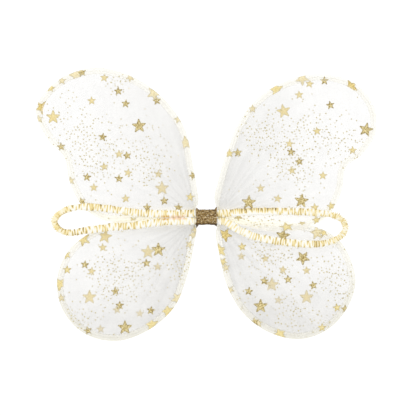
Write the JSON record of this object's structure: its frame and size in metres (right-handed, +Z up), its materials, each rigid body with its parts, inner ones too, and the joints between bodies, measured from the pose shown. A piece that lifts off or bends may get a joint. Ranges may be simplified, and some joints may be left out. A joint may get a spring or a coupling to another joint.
{
  "type": "fairy wings",
  "caption": "Child's butterfly-shaped fairy wings of star-printed tulle on wire, gathered in a glitter band, with ruched arm loops.",
  "frame": {"origin": "middle of the centre band's flat underside, on the surface the wings lie on", "axes": "the wings lie flat, strap side up: +X across the wing span, +Y towards the upper lobes' tips, +Z up, towards the wearer's back"},
  "size_m": [0.4589, 0.3685, 0.014],
  "materials": {
    "tulle": "sheer off-white net printed with gold foil stars and dots",
    "hem_mesh": "two folded layers of the same printed net, ivory",
    "ruched_tulle": "gathered printed net, ivory with gold streaks",
    "elastic": "woven elastic, off-white",
    "glitter_ribbon": "coarse gold-brown glitter on ribbon",
    "thread": "cotton thread, ivory",
    "wire": "plain spring wire"
  },
  "bodies": {
    "centre": {"glitter_band": "glitter_ribbon", "gathered_middle": "tulle", "binding_thread": "thread", "wire_ends_left": "wire", "wire_ends_right": "wire", "elastic_ends_left": "elastic", "elastic_ends_right": "elastic"},
    "left_wing": {"wire_upper_left": "wire", "hem_upper_left": "hem_mesh", "front_tulle_upper_left": "tulle", "back_tulle_upper_left": "tulle", "wire_lower_left": "wire", "hem_lower_left": "hem_mesh", "front_tulle_lower_left": "tulle", "back_tulle_lower_left": "tulle"},
    "right_wing": {"wire_upper_right": "wire", "hem_upper_right": "hem_mesh", "front_tulle_upper_right": "tulle", "back_tulle_upper_right": "tulle", "wire_lower_right": "wire", "hem_lower_right": "hem_mesh", "front_tulle_lower_right": "tulle", "back_tulle_lower_right": "tulle"},
    "left_loop": {"sleeve_left": "ruched_tulle", "elastic_left": "elastic"},
    "right_loop": {"sleeve_right": "ruched_tulle", "elastic_right": "elastic"}
  },
  "joints": [
    {"name": "left_wing_fold", "type": "hinge", "parent": "centre", "child": "left_wing", "pos_m": [-0.0142, 0, 0], "axis": [0, -1, 0], "range_deg": [0, 85], "stiffness_Nm_per_rad": 0.24},
    {"name": "right_wing_fold", "type": "hinge", "parent": "centre", "child": "right_wing", "pos_m": [0.0142, 0, 0], "axis": [0, 1, 0], "range_deg": [0, 85], "stiffness_Nm_per_rad": 0.24},
    {"name": "left_loop_swing", "type": "hinge", "parent": "centre", "child": "left_loop", "pos_m": [-0.0142, 0, 0.0129], "axis": [0, 1, 0], "range_deg": [0, 85]},
    {"name": "right_loop_swing", "type": "hinge", "parent": "centre", "child": "right_loop", "pos_m": [0.0142, 0, 0.0129], "axis": [0, -1, 0], "range_deg": [0, 85]}
  ]
}
